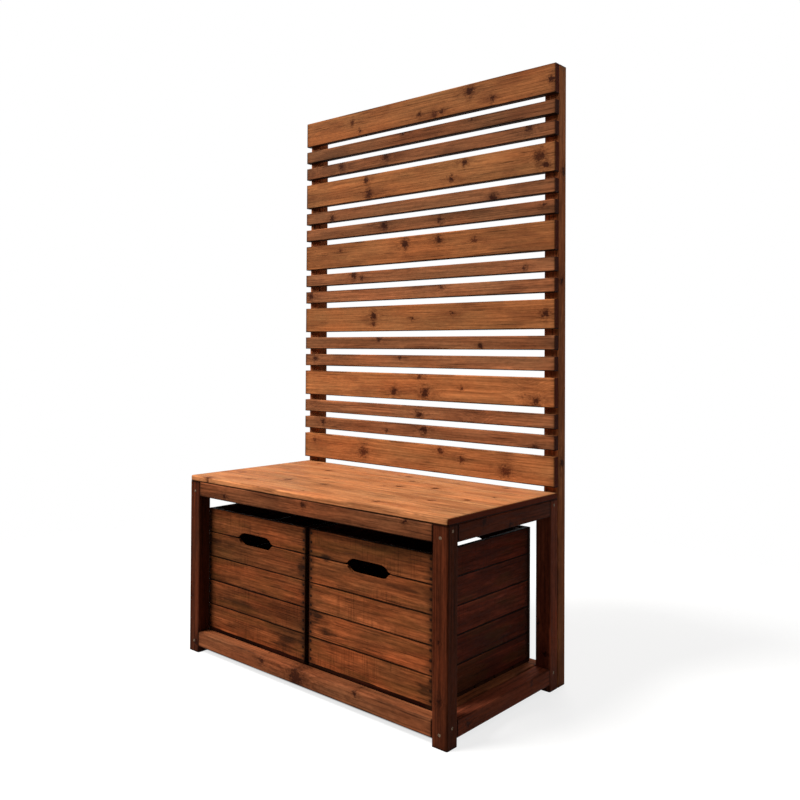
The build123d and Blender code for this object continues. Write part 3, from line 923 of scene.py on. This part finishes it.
CRATE_WALLS = {
    "front_boards": (SLAT_AXES, WALL_GAP, True),
    "back_boards": (SLAT_AXES, WALL_GAP, True),
    "left_side_boards": (DEPTH_AXES, WALL_GAP, False),
    "right_side_boards": (DEPTH_AXES, WALL_GAP, False),
    "floor_boards": (SEAT_AXES, FLOOR_GAP, False),
}
for crate in ("left_crate", "right_crate"):
    for wall, (axes, gap, cut) in CRATE_WALLS.items():
        plank_wall(crate, wall, axes, gap, cut)
    node = f"{crate}_corner_battens"
    dress(node, timber_material(node, "crate_wood", LEG_AXES, ()))

# Metal: tarnish in patches, which is rougher, and fine scratches
TARNISH_CELLS = (420, 420, 420)
TARNISH_DETAIL = 4.0
TARNISH = (0.4, 0.65)
TARNISH_ROUGHER = 0.3
SCRATCH_CELLS = (900, 5200, 2600)
SCRATCH_DETAIL = 2.0
SCRATCH_ROUGHNESS = 0.1
METAL_BUMP = 0.05 * MM


def metal_material(name, light, dark, metallic, roughness, specular):
    """Metal with tarnish in patches and fine scratches."""
    material, tree, shader = new_material(name)
    place = add(tree, "ShaderNodeTexCoord").outputs["Object"]
    patch = step(tree, mottle(tree, place, TARNISH_CELLS, TARNISH_DETAIL), *TARNISH)
    scratch = mottle(tree, place, SCRATCH_CELLS, SCRATCH_DETAIL)
    dull = scaled(tree, patch, roughness, roughness + TARNISH_ROUGHER)
    rough = total(tree, dull, scaled(tree, scratch, -SCRATCH_ROUGHNESS, SCRATCH_ROUGHNESS))
    finish_shader(tree, shader, mix(tree, patch, light, dark), rough, scratch, METAL_BUMP, specular)
    shader.inputs["Metallic"].default_value = metallic
    return material


ZINC = metal_material("screw_steel", srgb(128, 106, 84), srgb(80, 60, 46),
                      metallic=0.6, roughness=0.5, specular=0.4)
RUST = metal_material("nail_steel", srgb(40, 24, 17), srgb(22, 11, 7),
                      metallic=0.1, roughness=0.65, specular=0.05)

# Screws: a domed head with a cross recess on a ridged shank; the head's profile gives depths in heights
# of its dome and widths in its own radii
RECESS_ARM = 2.0 * MM
RECESS_WIDTH = 0.55 * MM
RECESS_DEPTH = 1.5 * MM
RECESS_TAPER = 0.5
HEAD_HEIGHT = 2.4 * MM
HEAD_DOME = 0.5 * MM
HEAD_PROFILE = ((0.25, 0.72), (1, 1), (2, 1))
THREAD_PITCH = 3 * MM
THREAD_DEPTH = 0.35 * MM

# Corner points that lie nearer than this are one, and a number as good as zero
WELD = 0.01 * MM
TINY = 1e-6

# Angles of a screw's corners, so that the cross recess has sharp arms
ARM_ANGLE = math.atan2(RECESS_WIDTH, RECESS_ARM)
EIGHTH = math.radians(45)
QUARTER_ANGLES = (-ARM_ANGLE, 0, ARM_ANGLE, (ARM_ANGLE + EIGHTH) / 2, EIGHTH,
                  1.5 * EIGHTH - ARM_ANGLE / 2)
TURN = [quarter * 2 * EIGHTH + angle for quarter in range(4) for angle in QUARTER_ANGLES]


def recess_radius(angle):
    """How far the cross recess reaches in a direction."""
    long, short = sorted((abs(math.cos(angle)), abs(math.sin(angle))), reverse=True)
    return min(RECESS_ARM / long, RECESS_WIDTH / max(short, TINY))


def islands(mesh):
    """The separate solids of a mesh, always in the same order, as lists of their corner points."""
    shape = bmesh.new()
    shape.from_mesh(mesh)
    bmesh.ops.remove_doubles(shape, verts=shape.verts, dist=WELD)
    waiting = dict.fromkeys(shape.verts)
    found = []
    while waiting:
        border = [waiting.popitem()[0]]
        island = []
        while border:
            vert = border.pop()
            island.append(vert.co.copy())
            for edge in vert.link_edges:
                other = edge.other_vert(vert)
                if other in waiting:
                    del waiting[other]
                    border.append(other)
        found.append(island)
    shape.free()
    return found


def screw_rings(length, head_radius, shank_radius):
    """The rings of a screw from its recess's bottom to its tip, as depths and radii for each angle."""
    cross = [recess_radius(angle) for angle in TURN]
    rings = [(RECESS_DEPTH, [radius * RECESS_TAPER for radius in cross]), (0.0, cross)]
    whole = [(HEAD_DOME * domes, head_radius * share) for domes, share in HEAD_PROFILE]
    whole.append((HEAD_HEIGHT, shank_radius))
    depth = HEAD_HEIGHT + THREAD_PITCH
    while depth < length - THREAD_PITCH:
        whole.append((depth, shank_radius - THREAD_DEPTH))
        whole.append((depth + THREAD_PITCH / 2, shank_radius))
        depth += THREAD_PITCH
    whole.append((length, shank_radius - THREAD_DEPTH))
    return rings + [(depth, [radius] * len(TURN)) for depth, radius in whole]


def add_screw(shape, points):
    """One screw in the place of a solid given by its points."""
    low, high = [Vector(pick(p[axis] for p in points) for axis in range(3)) for pick in (min, max)]
    axis = max(range(3), key=lambda i: (high - low)[i])
    side, other = (axis + 1) % 3, (axis + 2) % 3
    middle = (low + high) / 2
    radius_at = {}
    for end in (low[axis], high[axis]):
        radius_at[end] = max(abs(p[side] - middle[side]) for p in points if abs(p[axis] - end) < MM)
    top = max(radius_at, key=radius_at.get)
    tip = min(radius_at, key=radius_at.get)
    inward = math.copysign(1, tip - top)
    rings = []
    for depth, radii in screw_rings(abs(tip - top), radius_at[top], radius_at[tip]):
        ring = []
        for angle, radius in zip(TURN, radii):
            place = middle.copy()
            place[axis] = top + inward * depth
            place[side] += radius * math.cos(angle)
            place[other] += radius * math.sin(angle)
            ring.append(shape.verts.new(place))
        rings.append(ring)
    shape.faces.new(rings[0])
    shape.faces.new(rings[-1])
    for first, second in zip(rings, rings[1:]):
        for i in range(len(TURN)):
            j = (i + 1) % len(TURN)
            shape.faces.new((first[i], first[j], second[j], second[i]))


for node in ("frame_screws", "screen_screws", "seat_screws"):
    shape = bmesh.new()
    for points in islands(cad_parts[node].data):
        add_screw(shape, points)
    bmesh.ops.recalc_face_normals(shape, faces=shape.faces)
    piece = new_piece(f"{node}_turned", shape)
    piece.data.materials.append(ZINC)
    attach(piece, "bench")
    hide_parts(node)
for crate in ("left_crate", "right_crate"):
    dress(f"{crate}_nails", RUST)
dress("frame_dowels", timber_material("frame_dowels", "seat_wood", DEPTH_AXES, ()))

# Floor: a pale disc that fades into the white round it, with a painted shade right under the bench where
# its glow is left out
FLOOR_RADIUS = 2.2
FLOOR_FADE = (2.0, 0.9)
FLOOR_SIDES = 96
FLOOR_COLOUR = srgb(142, 141, 139)
FLOOR_GLOW = 0.78
SHADE_FADE = (-0.036, -0.026)
WHITE = (1, 1, 1, 1)
WORLD_LIGHT = 0.05


def seen_directly(tree):
    """One for what the camera sees, also in gloss and through glass."""
    path = add(tree, "ShaderNodeLightPath").outputs
    seen = calc(tree, "MAXIMUM", path["Is Camera Ray"], path["Is Glossy Ray"])
    return calc(tree, "MAXIMUM", seen, path["Is Transmission Ray"])


def make_floor():
    """The pale floor, which keeps the shadow and has a painted shade under the bench."""
    shape = bmesh.new()
    bmesh.ops.create_circle(shape, cap_ends=True, segments=FLOOR_SIDES, radius=FLOOR_RADIUS)
    floor = new_piece("floor", shape)
    material, tree, shader = new_material("floor")
    tree.nodes.remove(shader)
    place = add(tree, "ShaderNodeTexCoord").outputs["Object"]
    fade = step(tree, vector(tree, "LENGTH", place), *FLOOR_FADE)
    matt = add(tree, "ShaderNodeBsdfDiffuse", {"Color": FLOOR_COLOUR})
    outside = [
        calc(tree, "SUBTRACT", calc(tree, "ABSOLUTE", part), size)
        for part, size in zip(split(tree, place), cad_high[:2])
    ]
    # Painted shade: no glow right under the bench
    glow_outside_painted_shade = step(tree, calc(tree, "MAXIMUM", *outside), *SHADE_FADE)
    strength = product(tree, seen_directly(tree), glow_outside_painted_shade, FLOOR_GLOW)
    glow = add(tree, "ShaderNodeEmission", {"Strength": strength})
    lit = add(tree, "ShaderNodeAddShader", {0: matt.outputs[0], 1: glow.outputs[0]})
    clear = add(tree, "ShaderNodeBsdfTransparent")
    both = add(tree, "ShaderNodeMixShader", {0: fade, 1: clear.outputs[0], 2: lit.outputs[0]})
    tree.links.new(both.outputs[0], tree.nodes["Material Output"].inputs["Surface"])
    floor.data.materials.append(material)


def make_world():
    """White all round for the eye, and a little soft light from it."""
    world = bpy.data.worlds.new("studio")
    world.use_nodes = True
    scene.world = world
    background = world.node_tree.nodes["Background"]
    background.inputs["Color"].default_value = WHITE
    strength = scaled(world.node_tree, seen_directly(world.node_tree), WORLD_LIGHT, 1.0)
    world.node_tree.links.new(strength, background.inputs["Strength"])


def hang(name, lamp, place, target):
    """Puts a lamp in its place, turned to its target."""
    piece = bpy.data.objects.new(name, lamp)
    piece.location = place
    piece.rotation_euler = (Vector(target) - Vector(place)).to_track_quat("-Z", "Y").to_euler()
    scene.collection.objects.link(piece)


def make_lamp(name, place, target, power, size):
    """A square soft light that looks at a point."""
    lamp = bpy.data.lights.new(name, "AREA")
    lamp.size = size
    lamp.energy = power
    hang(name, lamp, place, target)


def make_key(name, place, target, strength, angle):
    """A broad distant light that shines from a place towards a point."""
    lamp = bpy.data.lights.new(name, "SUN")
    lamp.energy = strength
    lamp.angle = math.radians(angle)
    hang(name, lamp, place, target)


make_floor()
make_world()
make_key("key", place=(-1.4, -2.3, 3.7), target=(0, 0, 0.5), strength=3.4, angle=20)
make_lamp("left", place=(-2.2, -1.7, 2.6), target=(0, 0, 0.8), power=54, size=1.4)
make_lamp("right", place=(1.7, -0.2, 2.5), target=(0.4, 0.2, 1.5), power=9, size=1.2)
make_lamp("back", place=(-0.8, 2.9, 3.8), target=(0, 0, 0.8), power=80, size=1.8)

# Camera
CAMERA_PLACE = (1.3786, -1.6908, 0.8029)
CAMERA_YAW = math.radians(44.707)
CAMERA_PITCH = math.radians(0.838)
CAMERA_ROLL = math.radians(0.43)
CAMERA_LENS = 38.057
CAMERA_SHIFT = (0.1401, -0.0775)


def make_camera():
    """The eye in front of the right end, with the frame shifted as the view is cropped."""
    ahead = Vector((-math.sin(CAMERA_YAW) * math.cos(CAMERA_PITCH),
                    math.cos(CAMERA_YAW) * math.cos(CAMERA_PITCH),
                    math.sin(CAMERA_PITCH)))
    level = Vector((math.cos(CAMERA_YAW), math.sin(CAMERA_YAW), 0))
    upright = level.cross(ahead)
    right = level * math.cos(CAMERA_ROLL) + upright * math.sin(CAMERA_ROLL)
    up = upright * math.cos(CAMERA_ROLL) - level * math.sin(CAMERA_ROLL)
    lens = bpy.data.cameras.new("camera")
    lens.lens = CAMERA_LENS
    lens.shift_x, lens.shift_y = CAMERA_SHIFT
    camera = bpy.data.objects.new("camera", lens)
    turn = Matrix((right, up, -ahead)).transposed().to_4x4()
    camera.matrix_world = Matrix.Translation(CAMERA_PLACE) @ turn
    scene.collection.objects.link(camera)
    scene.camera = camera


make_camera()
